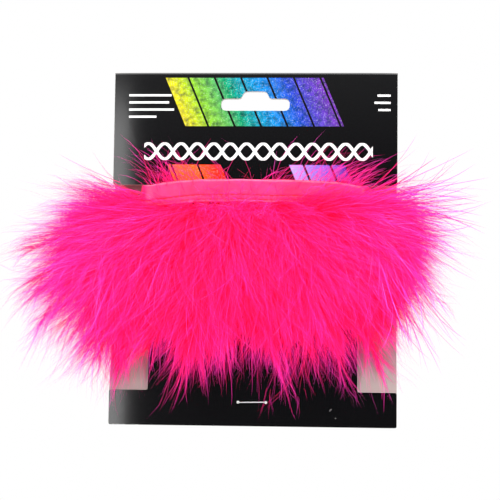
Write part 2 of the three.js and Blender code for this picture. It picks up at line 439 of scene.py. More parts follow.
# the blank rules' left and right ends and heights, and the places of three small scuffs
RULES = [
    (-59.6, -39.5, 154.2), (-59.6, -40.6, 150.8), (-59.6, -38.2, 147.4), (-59.6, -46.5, 144.0),
    (57.0, 63.2, 154.2), (55.6, 63.2, 150.8), (57.4, 63.2, 147.4),
]
SCUFFS = [(36.4, 8.2), (38.5, 4.2), (35.9, 7.6)]


def card_print():
    """Black varnished print with mottled coloured stripes round the slot and in two low bands, a plaited
    white ornament, and blank white rules where such a card carries its notes."""
    material = principled("printed_front", BLACK_INK, VARNISH_ROUGHNESS)
    paint = Shader(material)
    where = paint.nodes.new("ShaderNodeTexCoord").outputs["Object"]
    parts = paint.nodes.new("ShaderNodeSeparateXYZ")
    paint.links.new(where, parts.inputs[0])
    x = paint.math("MULTIPLY", parts.outputs["X"], 1 / MM)
    height = paint.scaled(parts.outputs["Z"], 1 / MM, -CARD_BOTTOM / MM)
    mottle = paint.noise(where, 420.0, 4.0)
    grain = paint.noise(where, 1800.0, 2.0)

    slant = paint.scaled(height, SLANT, -SLANT * SLANT_HEIGHT)
    across = paint.math("ADD", x, slant)
    wobble = paint.scaled(mottle, 3.0, -1.5)
    hue = paint.scaled(paint.math("ADD", across, wobble), 1 / 84, 0.5, clamp=True)
    spectrum = paint.ramp(hue, [
        (0.04, (0.75, 0.60, 0.0)), (0.2, (0.22, 0.50, 0.01)), (0.38, (0.0, 0.30, 0.12)),
        (0.55, (0.0, 0.24, 0.60)), (0.72, (0.01, 0.05, 0.50)), (0.95, (0.15, 0.02, 0.34)),
    ])
    washed = paint.blend(paint.scaled(grain, 2.2, -1.2, clamp=True), spectrum, (0.8, 0.9, 0.8))
    deep = paint.blend(paint.scaled(mottle, -2.6, 1.55, clamp=True), washed, (0.0, 0.02, 0.03))
    stripe = paint.math("PINGPONG", paint.math("ADD", across, 200.0), STRIPE_PITCH)
    bars = paint.inside(stripe, STRIPE_GAP, 99.0)
    band = paint.patch(across, *TOP_BAND_ENDS, height, *TOP_BAND)
    color = paint.blend(paint.math("MULTIPLY", band, bars), BLACK_INK, deep)

    warm = [(0.02, (0.9, 0.10, 0.005)), (0.12, (0.9, 0.018, 0.006)), (0.24, (0.7, 0.008, 0.010))]
    cool = [(0.56, (0.40, 0.28, 0.78)), (0.72, (0.22, 0.10, 0.62)), (0.86, (0.07, 0.01, 0.30))]
    for ends, stops in ((WARM_ENDS, warm), (COOL_ENDS, cool)):
        tint = paint.ramp(hue, stops)
        tint = paint.blend(paint.scaled(grain, 2.0, -1.1, clamp=True), tint, (0.9, 0.8, 0.85))
        low_band = paint.patch(across, *ends, height, *LOW_BAND)
        color = paint.blend(paint.math("MULTIPLY", low_band, bars), color, tint)

    plait = 0.0
    for phase in (0.0, math.pi):
        turn = paint.scaled(x, 2 * math.pi / PLAIT_WAVE, phase)
        line = paint.scaled(paint.math("SINE", turn), PLAIT_SWING, PLAIT_HEIGHT)
        off = paint.math("ABSOLUTE", paint.math("SUBTRACT", height, line))
        slope = paint.math("ABSOLUTE", paint.math("COSINE", turn))
        half = paint.scaled(slope, 0.75, 0.5)
        stroke = paint.scaled(paint.math("SUBTRACT", half, off), 8.0, 0.5, clamp=True)
        plait = paint.math("MAXIMUM", plait, stroke)
    white = paint.math("MULTIPLY", plait, paint.inside(x, *PLAIT_ENDS))

    for left, right, line in RULES:
        rule = paint.patch(x, left, right, height, line - RULE_HALF_HEIGHT, line + RULE_HALF_HEIGHT)
        white = paint.math("MAXIMUM", white, rule)
    for middle, up in SCUFFS:
        fleck = paint.patch(x, middle - 0.2, middle + 0.2, height, up - 0.15, up + 0.15)
        white = paint.math("MAXIMUM", white, fleck)

    # the lower left edge is worn in specks
    worn = paint.patch(x, -67.0, -52.0, height, -1.0, 0.4)
    worn = paint.math("MULTIPLY", worn, paint.scaled(grain, 12.0, -6.6, clamp=True))
    white = paint.math("MAXIMUM", white, worn)
    color = paint.blend(white, color, (0.86, 0.86, 0.86))
    paint.links.new(color, paint.nodes["Principled BSDF"].inputs["Base Color"])
    return material


# ---------------- staple


def staple():
    """Flattened steel wire bent twice, with chisel points. The crown lies in front of the card, at low,
    and the legs reach back through both halves, at reach."""
    half, low, reach = STAPLE_HALF_WIDTH, -0.4, 2.6
    bend, point, bulge, tilt = 0.55, 0.35, 0.03, 0.02
    crown = np.linspace(-half + 1.2, half - 1.2, 8)
    path = [(-half, reach), (-half, reach - point)]
    for a in np.linspace(0, np.pi / 2, 6):
        path.append((-half + bend - bend * math.cos(a), low + bend - bend * math.sin(a)))
    path += [(x, low - bulge * math.cos(x / half * np.pi / 2)) for x in crown]
    for a in np.linspace(np.pi / 2, 0, 6):
        path.append((half - bend + bend * math.cos(a), low + bend - bend * math.sin(a)))
    path += [(half, reach - point), (half, reach)]
    path = np.array(path)
    runs = unit(np.gradient(path, axis=0))
    section = [
        (0.2, 0.12), (0.15, 0.2), (-0.15, 0.2), (-0.2, 0.12),
        (-0.2, -0.12), (-0.15, -0.2), (0.15, -0.2), (0.2, -0.12),
    ]
    vertices, faces = [], []
    last = len(path) - 1
    for i, ((x, y), (run_x, run_y)) in enumerate(zip(path, runs)):
        thin = 0.25 if i in (0, last) else 1.0
        for up, out in section:
            z = STAPLE_HEIGHT + tilt * x + up
            vertices.append((x - run_y * out * thin, y + run_x * out * thin, z))
    count = len(section)
    for i in range(last):
        for j in range(count):
            a, b = i * count + j, i * count + (j + 1) % count
            faces.append((a, b, b + count, a + count))
    faces.append(tuple(range(count))[::-1])
    faces.append(tuple(last * count + j for j in range(count)))
    steel = principled("staple_steel", (0.52, 0.53, 0.54), 0.3, Metallic=1.0)
    piece = mesh_object("staple_wire_bent", to_frame(vertices), faces, [steel])
    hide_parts("staple")
    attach(piece, "staple_wire")


# ---------------- ribbon and stitching

RIBBON_LENGTH = 914.0
RIBBON_HEIGHT = 10.3
RIBBON_BOTTOM = 100.8
RIBBON_ARCH = 2.8
RIBBON_SEED = 7

# how far outside the board the first lap lies, each lap outside the last, and the mean turn of a lap
FIRST_LAYER = 0.52
LAYER_PITCH = 0.9
TURN_ALLOWANCE = 2.5
STEP_ON_STRAIGHT = 1.4
STEP_ON_TURN = 0.35

# heights of the two stitch rows above the ribbon's lower edge
UPPER_STITCHES = 3.05
LOWER_STITCHES = 1.15
STITCH_PITCH = 2.6
STITCH_LENGTH = 2.3
THREAD_RADIUS = 0.15


def arch(x):
    """How far the winding is pulled up at x, as in the CAD."""
    return RIBBON_ARCH * (1 - np.minimum(1, np.abs(x) / HALF_WAIST) ** 4)


def winding():
    """The ribbon's middle line in plan from its inner end, behind the card: points, outward normals and
    the length used so far, until the ribbon's full length is laid."""
    straight, radius = 2 * HALF_WAIST, BOARD / 2
    arc = np.pi * (radius + TURN_ALLOWANCE)
    lap = 2 * straight + 2 * arc
    points, normals, lengths = [], [], [0.0]
    s = 0.0
    while lengths[-1] < RIBBON_LENGTH:
        u = s % lap
        out = FIRST_LAYER + LAYER_PITCH * s / lap
        if u < straight / 2:
            x, angle = u, np.pi / 2
        elif u < straight / 2 + arc:
            x, angle = HALF_WAIST, np.pi / 2 - np.pi * (u - straight / 2) / arc
        elif u < 1.5 * straight + arc:
            x, angle = HALF_WAIST - (u - straight / 2 - arc), -np.pi / 2
        elif u < 1.5 * straight + 2 * arc:
            x, angle = -HALF_WAIST, -np.pi / 2 - np.pi * (u - 1.5 * straight - arc) / arc
        else:
            x, angle = -HALF_WAIST + u - 1.5 * straight - 2 * arc, np.pi / 2
        normal = np.array([math.cos(angle), math.sin(angle)])
        point = np.array([x, BOARD / 2]) + normal * (radius + out)
        if points:
            lengths.append(lengths[-1] + float(np.linalg.norm(point - points[-1])))
        points.append(point)
        normals.append(normal)
        s += STEP_ON_TURN if abs(x) == HALF_WAIST else STEP_ON_STRAIGHT
    return np.array(points), np.array(normals), np.array(lengths[:len(points)])


LINE, LINE_NORMALS, LINE_LENGTHS = winding()


def edge_waves(along):
    """How the winding wanders up and down along its length."""
    waves = ((0.16, 61, 0.4), (0.10, 23, 1.9), (0.05, 9.5, 4.0))
    return sum(rise * np.sin(2 * np.pi * along / length + phase) for rise, length, phase in waves)


def ribbon_section():
    """(distance outwards, height) round the folded ribbon, from its front lower edge over the fold at the
    top to its rear lower edge. The stitch rows pinch it."""
    heights = np.concatenate([np.linspace(0, 2.2, 9), np.linspace(2.5, 3.6, 7), np.linspace(4.2, 9.9, 9)])
    puff = 0.1 + 0.12 * np.sin(np.pi * np.clip((heights - 3.0) / 7.3, 0, 1)) ** 0.8
    for stitch in (UPPER_STITCHES, LOWER_STITCHES):
        puff -= 0.1 * np.exp(-((heights - stitch) / 0.3) ** 2)
    puff += np.where(heights > 3.3, 0.12, 0.0) - np.where(np.abs(heights - UPPER_STITCHES) < 0.2, 0.05, 0.0)
    puff[:3] += np.array([0.1, 0.05, 0.0])
    front = np.stack([np.maximum(puff, 0.04), heights], axis=1)
    angles = np.linspace(0, np.pi, 7)[1:-1]
    fold = np.stack([0.1 * np.cos(angles), 9.95 + 0.35 * np.sin(angles)], axis=1)
    rear = np.stack([-np.maximum(puff * 0.55, 0.04), heights], axis=1)[::-1]
    return np.concatenate([front, fold, rear])


def ribbon():
    """The folded ribbon swept along the winding, puckered by the stitches and a little wrinkled."""
    rng = np.random.default_rng(RIBBON_SEED)
    section = ribbon_section()
    n, k = len(LINE), len(section)
    near_stitches = np.exp(-((section[:, 1] - UPPER_STITCHES) / 0.8) ** 2)[None]
    pucker = np.sin(2 * np.pi * LINE_LENGTHS / STITCH_PITCH)[:, None] * near_stitches * 0.025
    wrinkle = rng.normal(0, 1, n)
    wrinkle = np.convolve(wrinkle, np.ones(5) / 5, mode="same")[:, None]
    wrinkle = wrinkle * 0.03 * np.sin(np.pi * section[:, 1] / RIBBON_HEIGHT)[None]
    side = np.sign(section[:, 0])[None]
    out = section[None, :, 0] + side * pucker + wrinkle
    vertices = np.empty((n, k, 3))
    vertices[..., :2] = LINE[:, None] + LINE_NORMALS[:, None] * out[..., None]
    rise = arch(LINE[:, 0])[:, None] + edge_waves(LINE_LENGTHS)[:, None]
    vertices[..., 2] = RIBBON_BOTTOM + section[None, :, 1] + rise
    first = np.arange(n - 1)[:, None] * k + np.arange(k - 1)[None]
    faces = np.stack([first, first + 1, first + k + 1, first + k], axis=-1).reshape(-1, 4)
    piece = mesh_object("folded_satin_ribbon", to_frame(vertices.reshape(-1, 3)), faces, [satin()])
    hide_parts("satin_ribbon")
    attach(piece, ROOT)


def satin():
    """Satin weave: long floats across the ribbon give soft highlights that stretch along it."""
    material = principled("satin", (1.0, 0.03, 0.2), 0.34)
    weave = Shader(material)
    where = weave.nodes.new("ShaderNodeTexCoord").outputs["Object"]
    stretch = weave.nodes.new("ShaderNodeMapping")
    stretch.inputs["Scale"].default_value = (1.0, 1.0, 7.0)
    weave.links.new(where, stretch.inputs["Vector"])
    floats = weave.noise(stretch.outputs[0], 900.0, 3.0)
    cloudy = weave.noise(where, 130.0, 2.0)
    tone = weave.scaled(cloudy, 1.6, -0.3, clamp=True)
    color = weave.blend(tone, (1.0, 0.004, 0.085), (1.0, 0.026, 0.20))
    shader = weave.nodes["Principled BSDF"]
    weave.links.new(color, shader.inputs["Base Color"])
    weave.links.new(weave.scaled(floats, 0.25, 0.22), shader.inputs["Roughness"])
    bump = weave.nodes.new("ShaderNodeBump")
    bump.inputs["Strength"].default_value = 0.35
    bump.inputs["Distance"].default_value = 0.0001
    weave.links.new(floats, bump.inputs["Height"])
    weave.links.new(bump.outputs[0], shader.inputs["Normal"])
    return material


def stitches(name, node, height):
    """A row of lock stitches along the ribbon's outer face, each one a short bowed thread. Its dark red
    is partly the thread's own colour and partly painted shade of the groove that the stitches sink into.
    """
    rings, sides = 5, 6
    starts = np.arange(1.0, RIBBON_LENGTH - 3, STITCH_PITCH)
    u = np.linspace(0, 1, rings)
    along = starts[:, None] + u[None] * STITCH_LENGTH
    x, y, nx, ny = (np.interp(along, LINE_LENGTHS, v) for v in (*LINE.T, *LINE_NORMALS.T))
    bow = 0.1 + 0.1 * np.sin(np.pi * u)[None]
    z = RIBBON_BOTTOM + height + arch(x) + edge_waves(along)
    centre = np.stack([x + nx * bow, y + ny * bow, z], axis=-1)
    corners = np.linspace(0, 2 * np.pi, sides, endpoint=False)
    outward = np.stack([nx, ny, np.zeros_like(nx)], axis=-1)
    ring = outward[:, :, None] * np.cos(corners)[None, None, :, None]
    ring = ring + np.array([0, 0, 1.0]) * np.sin(corners)[None, None, :, None]
    taper = THREAD_RADIUS * np.array([0.45, 1, 1, 1, 0.45])[None, :, None, None]
    vertices = centre[:, :, None] + ring * taper
    first = (np.arange(len(starts))[:, None, None] * rings + np.arange(rings - 1)[None, :, None]) * sides
    base = first + np.arange(sides)
    beside = first + (np.arange(sides) + 1) % sides
    faces = np.stack([base, beside, beside + sides, base + sides], axis=-1).reshape(-1, 4)
    # dark red: the thread's colour darkened with painted shade of the stitch groove
    thread = principled(name + "_thread", (0.42, 0.0, 0.012), 0.6)
    piece = mesh_object(name, to_frame(vertices.reshape(-1, 3)), faces, [thread])
    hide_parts(node)
    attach(piece, ROOT)


# ---------------- plumes


def plume_shade(name, color):
    """Dyed down: hardly any gloss, and a faint painted red emission that stands in for light coming
    through the down, which keeps deep gaps from going grey."""
    # painted light: a red emission in place of light shining through the down into its shaded gaps
    painted_glow = {"Emission_Color": (1.0, 0.0, 0.04, 1.0), "Emission_Strength": 0.16}
    return principled(name, color, 0.6, Specular_IOR_Level=0.14, **painted_glow)


# Lit and shaded copies of the one dyed down: plume_deep is painted shade for gaps inside a tuft, core,
# light and tip step towards painted light, and plume_edge is painted light coming through thin
# free-standing tips. strand_slots picks one for each stretch.
PLUME_SHADES = [
    plume_shade("plume_deep", (1.0, 0.003, 0.070)),
    plume_shade("plume_core", (1.0, 0.008, 0.155)),
    plume_shade("plume_light", (1.0, 0.018, 0.29)),
    plume_shade("plume_tip", (1.0, 0.032, 0.50)),
    plume_shade("plume_edge", (1.0, 0.095, 0.68)),
]
QUILL_MATERIAL = principled("quill", (0.9, 0.05, 0.3), 0.35)

STRAND_POINTS = 6
STRANDS_PER_LOCK = 7
LOCKS_PER_PLUME = 90
BARB_LENGTH = 34.0
STRAND_HALF_WIDTH = 0.055
LOOSE_WIDTH = 1.45
QUILL_HALF_WIDTH = 0.24

# height of the point that drift grows away from
DRIFT_SEED = 5
DRIFT_CENTRE = 104.0


class Plumes:
    """A batch of plumes: each quill is a curve that leaves its root along start and ends along end."""

    def __init__(self, roots, starts, ends, lengths):
        self.roots = np.asarray(roots, float)
        self.starts = unit(np.asarray(starts, float))
        self.ends = unit(np.asarray(ends, float))
        self.lengths = np.asarray(lengths, float)

    def point(self, plume, t):
        bend = turning(self.starts[plume], self.ends[plume], t[..., None])
        return self.roots[plume] + bend * self.lengths[plume][..., None]

    def tangent(self, plume, t):
        return unit(self.starts[plume] * (1 - t)[..., None] + self.ends[plume] * t[..., None])


def barbs(plumes, rng, locks=LOCKS_PER_PLUME, strands=STRANDS_PER_LOCK, length=BARB_LENGTH):
    """Strand centre lines in millimetres, (n, k, 3), and each strand's shade from 0 deep to 1 light.
    Barbs leave the quill in locks of a few strands, which fray a little towards their tips."""
    count = len(plumes.roots)
    plume = np.repeat(np.arange(count), locks)
    n = len(plume)
    t = np.tile((np.arange(locks) + 0.5) / locks, count) + rng.uniform(-0.5, 0.5, n) / locks
    t = t ** 0.9
    along = plumes.tangent(plume, t)
    forward = unit(np.cross(np.cross(along, np.array([0.0, -1.0, 0.0])) + 1e-6, along))
    across = unit(np.cross(along, forward))
    side = np.where(rng.random(n) < 0.5, -1.0, 1.0)
    tilt = rng.normal(0, 0.7, n)
    sideways = unit(across * (side * np.cos(tilt))[:, None] + forward * np.sin(tilt)[:, None])
    open_angle = np.radians(mix(50, 12, t) + rng.normal(0, 8, n))
    first = unit(along * np.cos(open_angle)[:, None] + sideways * np.sin(open_angle)[:, None])
    last = unit(along * 0.9 + first * 0.4 + rng.normal(0, 0.2, (n, 3)))
    reach = length * (0.6 + 0.4 * np.sin(np.pi * t ** 0.8)) * rng.uniform(0.7, 1.25, n)
    reach = np.where(rng.random(n) < 0.08, reach * 1.35, reach)
    curl_amplitude = rng.uniform(0.4, 4.6, n)
    curl_turns = rng.uniform(0.35, 1.0, n)
    curl_phase = rng.uniform(0, 2 * np.pi, n)
    face = unit(np.cross(along, rng.normal(size=(n, 3))))
    root = plumes.point(plume, t)

    lock = np.repeat(np.arange(n), strands)
    m = len(lock)
    own = 0.5 + 0.62 * rng.random(m) ** 1.4
    u = np.linspace(0, 1, STRAND_POINTS)[None] * own[:, None]
    straight = turning(first[lock][:, None], last[lock][:, None], u[..., None])
    centre = root[lock][:, None] + straight * reach[lock][:, None, None]
    sway = np.sin(2 * np.pi * curl_turns[lock][:, None] * u + curl_phase[lock][:, None])
    sway -= np.sin(curl_phase[lock])[:, None]
    centre += face[lock][:, None] * (sway * curl_amplitude[lock][:, None] * u)[..., None]
    slide = along[lock] * rng.uniform(-1.2, 2.4, m)[:, None] + rng.normal(0, 0.35, (m, 3))
    fray = rng.normal(0, 1.0, (m, 3))
    centre += slide[:, None] * (1 - 0.6 * u)[..., None] + fray[:, None] * (u ** 2)[..., None]
    centre += rng.normal(0, 0.12, (m, STRAND_POINTS, 3)) * u[..., None]
    tone = rng.normal(0.45, 0.24, n) + rng.normal(0, 0.22, count)[plume]
    shade = np.clip(tone[lock] + rng.normal(0, 0.1, m), 0, 1)
    return centre, shade


def drift(points):
    """Slow waves that carry neighbouring barbs together, stronger away from the ribbon's middle."""
    rng = np.random.default_rng(DRIFT_SEED)
    distance = np.linalg.norm(points - np.array([0, 0, DRIFT_CENTRE]), axis=-1)
    away = np.clip(distance / 60 - 0.15, 0, 1)[..., None]
    moved = np.zeros_like(points)
    for wave in (34.0, 21.0, 13.0):
        pull = unit(rng.normal(size=3)) * wave * 0.075
        knot = unit(rng.normal(size=3)) * 2 * np.pi / wave
        moved += np.sin(points @ knot + rng.uniform(0, 2 * np.pi))[..., None] * pull
    return points + moved * away


def strand_sides(centres, rng):
    """A width direction along each strand, across its run."""
    runs = unit(np.gradient(centres, axis=1))
    return unit(np.cross(runs, rng.normal(size=(len(centres), 1, 3))))


def strand_slots(centres, shade, rng):
    """One of the plume shades for each stretch, on top of each lock's own random tone: painted shade
    deep inside the tuft, painted light on its front surface and towards the tips, and the most magenta
    copies, as painted light coming through the down, where it stands free of the card and, less, low down."""
    middles = (centres[:, 1:] + centres[:, :-1]) / 2
    x, y, z = middles[..., 0], middles[..., 1], middles[..., 2]
    u = np.linspace(0, 1, middles.shape[1])[None]
    # free and surface add painted light: light coming through where the down stands free of the card or
    # hangs low, and light on the tuft's front surface, so strands further back keep painted shade
    free = np.clip((np.abs(x) - 36) / 74, 0, 1) + np.clip((48 - z) / 40, 0, 0.5)
    surface = np.clip(-y / 30, 0, 1)
    level = shade[:, None] * 1.5 + u * 1.7 + free * 1.85 + surface * 0.8
    level = level + rng.normal(-0.4, 0.4, (len(shade), 1))
    return np.clip(level, 0, len(PLUME_SHADES) - 1).astype(np.int32)


# how far the down may stand out in front, behind and at the sides, and how near it comes to the board
FRONT_LIMIT = 37.0
REAR_LIMIT = 19.0
SIDE_START = 98.0
SIDE_SPAN = 27.0
LOWEST, HIGHEST = 3.0, 172.0
CLEARANCE = 0.35


def keep_clear(points, behind=False):
    """Holds the down inside its limits, and keeps its points out of both halves of the card."""
    x, y, z = points[..., 0], points[..., 1], points[..., 2]
    y = np.where(y < 0, FRONT_LIMIT * np.tanh(y / FRONT_LIMIT), REAR_LIMIT * np.tanh(y / REAR_LIMIT))
    past = np.maximum(np.abs(x) - SIDE_START, 0)
    x = np.sign(x) * (np.minimum(np.abs(x), SIDE_START) + SIDE_SPAN * np.tanh(past / SIDE_SPAN))
    z = np.clip(z, LOWEST, HIGHEST)
    on_card = (np.abs(x) < HALF_CARD + 0.4) & (z < CARD_HEIGHT + 0.5)
    on_front = on_card & ((np.abs(x) < HALF_WAIST + 0.4) | (z > NOTCH_TOP - 0.6) | (z < NOTCH_BOTTOM + 0.6))
    pocket_back = rear_depth(z) - CLEARANCE
    y = np.where(on_card, np.minimum(y, pocket_back), y)
    passes_behind = behind | (y > 1.2)
    y = np.where(on_front & passes_behind, np.maximum(y, BOARD + CLEARANCE), y)
    y = np.where(on_front & ~passes_behind, np.minimum(y, -CLEARANCE), y)
    return np.stack([x, y, z], axis=-1)


def strays(rng, roots, firsts, lasts, lengths):
    """Single loose barbs, each bending once from its first direction towards its last."""
    each = (len(roots), 1, 1)
    u = np.linspace(0, 1, STRAND_POINTS)[None, :, None]
    run = turning(unit(firsts)[:, None], unit(lasts)[:, None], u)
    sway = np.sin(2 * np.pi * (u * rng.uniform(0.3, 1.0, each) + rng.random(each)))
    bend = unit(rng.normal(size=(len(roots), 1, 3))) * sway * u * rng.uniform(0.2, 1.6, each)
    return roots[:, None] + run * lengths[:, None, None] + bend


def quills(plumes):
    """Each quill's centre line twice, for two crossed strips that have width from every side."""
    count = len(plumes.roots)
    t = np.tile(np.linspace(0, 0.96, STRAND_POINTS), (count, 1))
    centres = np.stack([plumes.point(np.arange(count), t[:, i]) for i in range(STRAND_POINTS)], axis=1)
    return np.repeat(centres, 2, axis=0)


def fur(name, plumes, rng, node, behind=False, loose=None, loose_width=LOOSE_WIDTH, **options):
    """One tuft as a piece of strands: the plumes' barbs and quills, and any loose barbs, given as (n, k, 3)
    centre lines. behind keeps the whole tuft between the card's two halves."""
    centres, shade = barbs(plumes, rng, **options)
    centres = drift(centres)
    if loose is not None:
        centres = np.concatenate([centres, loose])
        shade = np.concatenate([shade, rng.uniform(0.7, 1.6, len(loose))])
    centres = keep_clear(centres, behind)
    along = np.linspace(0, 1, STRAND_POINTS)
    widths = STRAND_HALF_WIDTH * (1 - 0.55 * along)[None]
    widths = widths * rng.uniform(0.7, 1.3, (len(centres), 1))
    if loose is not None:
        widths[-len(loose):] *= loose_width
    sides = strand_sides(centres, rng)
    slots = strand_slots(centres, shade, rng)

    stems = keep_clear(drift(quills(plumes)), behind)
    stem_sides = strand_sides(stems, rng)
    stem_sides[1::2] = unit(np.cross(stem_sides[::2], unit(np.gradient(stems[::2], axis=1))))
    stem_widths = np.tile(QUILL_HALF_WIDTH * (1 - 0.75 * along), (len(stems), 1))
    stem_slots = np.full((len(stems), STRAND_POINTS - 1), len(PLUME_SHADES), np.int32)

    piece = strand_object(
        name,
        to_frame(np.concatenate([centres, stems])),
        np.concatenate([widths, stem_widths]) * MM,
        np.concatenate([sides, stem_sides]),
        PLUME_SHADES + [QUILL_MATERIAL],
        np.concatenate([slots, stem_slots]),
    )
    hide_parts(node)
    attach(piece, ROOT)


def fan_directions(swing, lift):
    """Unit directions from angles: swing from straight down towards +X, lift out of the card's plane."""
    return rows(np.sin(swing) * np.cos(lift), -np.sin(lift), -np.cos(swing) * np.cos(lift))


FRONT_TUFTS = 8
FRONT_PLUMES = 24
FRONT_SEED = 100
PARTING = -0.25

# half the width over which the plumes and the loose barbs are rooted
HALF_ROOTS = 47.0
HALF_LOOSE = 48.0

# loose barbs of each front tuft from the left: standing up from behind the ribbon's top edge, and worked
# up in front of the ribbon
TOP_STRAYS = (84, 46, 12, 8, 26, 22, 60, 104)
CROSSING_STRAYS = (6, 10, 40, 70, 16, 12, 60, 190)


def front_fur(index):
    """Down that fans out below the front of the winding, parted a little left of its middle and brushed
    further round on the right."""
    rng = np.random.default_rng(FRONT_SEED + index)
    n = FRONT_PLUMES
    share = (index + rng.random(n)) / FRONT_TUFTS
    layer = rng.random(n)
    c = 2 * share - 1
    x = HALF_ROOTS * c
    roots = rows(x, -0.8 - 3.4 * layer, RIBBON_BOTTOM + arch(x) - 1.4)
    side = np.where(c > PARTING, (c - PARTING) / (1 - PARTING), (c - PARTING) / (1 + PARTING))
    widest = np.where(side > 0, 86 * np.abs(side) ** 0.4, 74 * np.abs(side) ** 0.75)
    spread = np.where(layer > 0.45, rng.uniform(0.65, 1.1, n), rng.uniform(0.05, 0.75, n))
    swing = np.radians(np.sign(side) * widest * spread - 2 + rng.normal(0, 11, n))
    lift = np.radians(mix(2, 24, layer) + rng.normal(0, 4, n))
    settle = np.radians(rng.normal(-3, 5, n))
    swing = np.clip(swing, np.radians(-70), np.radians(78))
    lengths = (38 + 39 * rng.random(n) ** 1.6) * np.where(c < 0, 1, 1 - 0.15 * np.sin(swing) ** 2)
    # quills that swing to the right stay short enough not to reach far past the card
    room = (60 - x) / np.maximum(np.sin(swing), 0.05)
    lengths = np.minimum(lengths, room * rng.uniform(0.75, 1.3, n))
    hang = swing * 0.75 + np.radians(rng.normal(0, 12, n))
    plumes = Plumes(roots, fan_directions(swing, lift), fan_directions(hang, settle), lengths)
    loose = np.concatenate([
        ribbon_top_strays(rng, index), crossing_strays(rng, index), root_fluff(rng, index),
        surface_wisps(rng, plumes),
    ])
    fur(f"front_fur_{index + 1}", plumes, rng, f"front_plumes_{index + 1}", loose=loose)


def across_tuft(rng, index, n):
    """Random places across one front tuft, from -1 at the left turn of the winding to 1 at the right."""
    return 2 * (index + rng.random(n)) / FRONT_TUFTS - 1


def ribbon_top_strays(rng, index):
    """Loose barbs that stand up from behind the ribbon's top edge and lean outwards."""
    n = TOP_STRAYS[index]
    c = across_tuft(rng, index, n)
    x = HALF_LOOSE * c
    depths = rng.uniform(-4.2, -0.6, n)
    roots = rows(x, depths, RIBBON_BOTTOM + arch(x) + rng.uniform(4, 9.5, n))
    outward = np.where(c < 0, -0.7, 1.0) + rng.normal(0, 0.6, n)
    firsts = rows(outward * 0.4, rng.uniform(-0.4, 0.0, n), np.ones(n))
    lasts = rows(outward * 1.8, rng.uniform(-0.9, 0.2, n), rng.uniform(-0.3, 0.9, n))
    return strays(rng, roots, firsts, lasts, rng.uniform(10, 34, n) * rng.uniform(0.5, 1.1, n))


def crossing_strays(rng, index):
    """Barbs that have worked up in front of the ribbon."""
    n = CROSSING_STRAYS[index]
    c = across_tuft(rng, index, n)
    x = HALF_LOOSE * c
    sideways = 1.6 * np.maximum(c, 0) ** 2
    depths = rng.uniform(-7, -5, n)
    roots = rows(x, depths, RIBBON_BOTTOM + arch(x) + rng.uniform(-7, 2, n))
    firsts = rows(sideways + rng.normal(0, 0.5, n), rng.uniform(-0.3, 0.0, n), np.ones(n))
    turned = 2 * sideways + rng.normal(0, 1.2, n)
    lasts = rows(turned, rng.uniform(-0.6, 0, n), rng.uniform(-0.5, 0.9, n))
    return strays(rng, roots, firsts, lasts, rng.uniform(6, 24, n) * np.where(c < 0, 0.6, 1))


def root_fluff(rng, index, n=330):
    """Short down that crosses the ribbon's lower edge in all directions."""
    x = HALF_LOOSE * across_tuft(rng, index, n)
    depths = rng.uniform(-6.5, -4.6, n)
    roots = rows(x, depths, RIBBON_BOTTOM + arch(x) + rng.uniform(-5, 0.0, n))
    firsts = rows(rng.normal(0, 1.0, n), rng.uniform(-0.5, 0.0, n), rng.normal(-0.5, 0.45, n))
    turned = rows(rng.normal(0, 0.5, n), rng.uniform(-0.2, 0.2, n), rng.normal(-0.7, 0.4, n))
    return strays(rng, roots, firsts, firsts + turned, rng.uniform(4, 13, n))


def surface_wisps(rng, plumes, n=320):
    """Long barbs lying over the tuft, each at its own slant to the quills below it."""
    plume = rng.integers(0, len(plumes.roots), n)
    t = rng.uniform(0.1, 0.85, n)
    run = plumes.tangent(plume, t)
    roots = plumes.point(plume, t)
    roots[:, 1] -= rng.uniform(2, 9, n)
    turn = rng.normal(0, 0.6, n)
    firsts = rows(run[:, 0] - turn * run[:, 2], run[:, 1] - 0.15, run[:, 2] + turn * run[:, 0])
    lasts = firsts + rows(turn, rng.normal(0.15, 0.15, n), rng.normal(-0.1, 0.3, n))
    return strays(rng, roots, firsts, lasts, rng.uniform(16, 36, n))


# Side tufts, from the highest down. Where a table has two rows, -1 is the left side and 1 the right.
SIDE_TUFTS = 3
SIDE_SEEDS = {-1: 300, 1: 310}
SIDE_PLUMES = {-1: (12, 18, 22), 1: (5, 8, 13)}
SIDE_LOCKS = {-1: 90, 1: 55}

# degrees below the horizontal at which each tuft starts, the degrees that it spans, and the longest
# quills in millimetres at each of REACH_FALLS
SIDE_FALLS = (-2, 26, 54)
FALL_SPAN = 28
REACH_FALLS = range(-10, 91, 20)
SIDE_REACHES = {-1: (12, 28, 46, 48, 68, 84), 1: (8, 12, 15, 28, 48, 62)}

# how many loose barbs stand out from each side tuft, their shortest and longest length, how far out on
# the tuft they may begin, and how many times as wide as other barbs they are
SIDE_STRAYS = {-1: (120, 120, 190), 1: (180, 230, 260)}
STRAY_LENGTHS = {-1: (14, 40), 1: (18, 48)}
STRAY_STARTS = (20, 22, 46)
STRAY_WIDTH = {-1: 2.1, 1: 3.3}


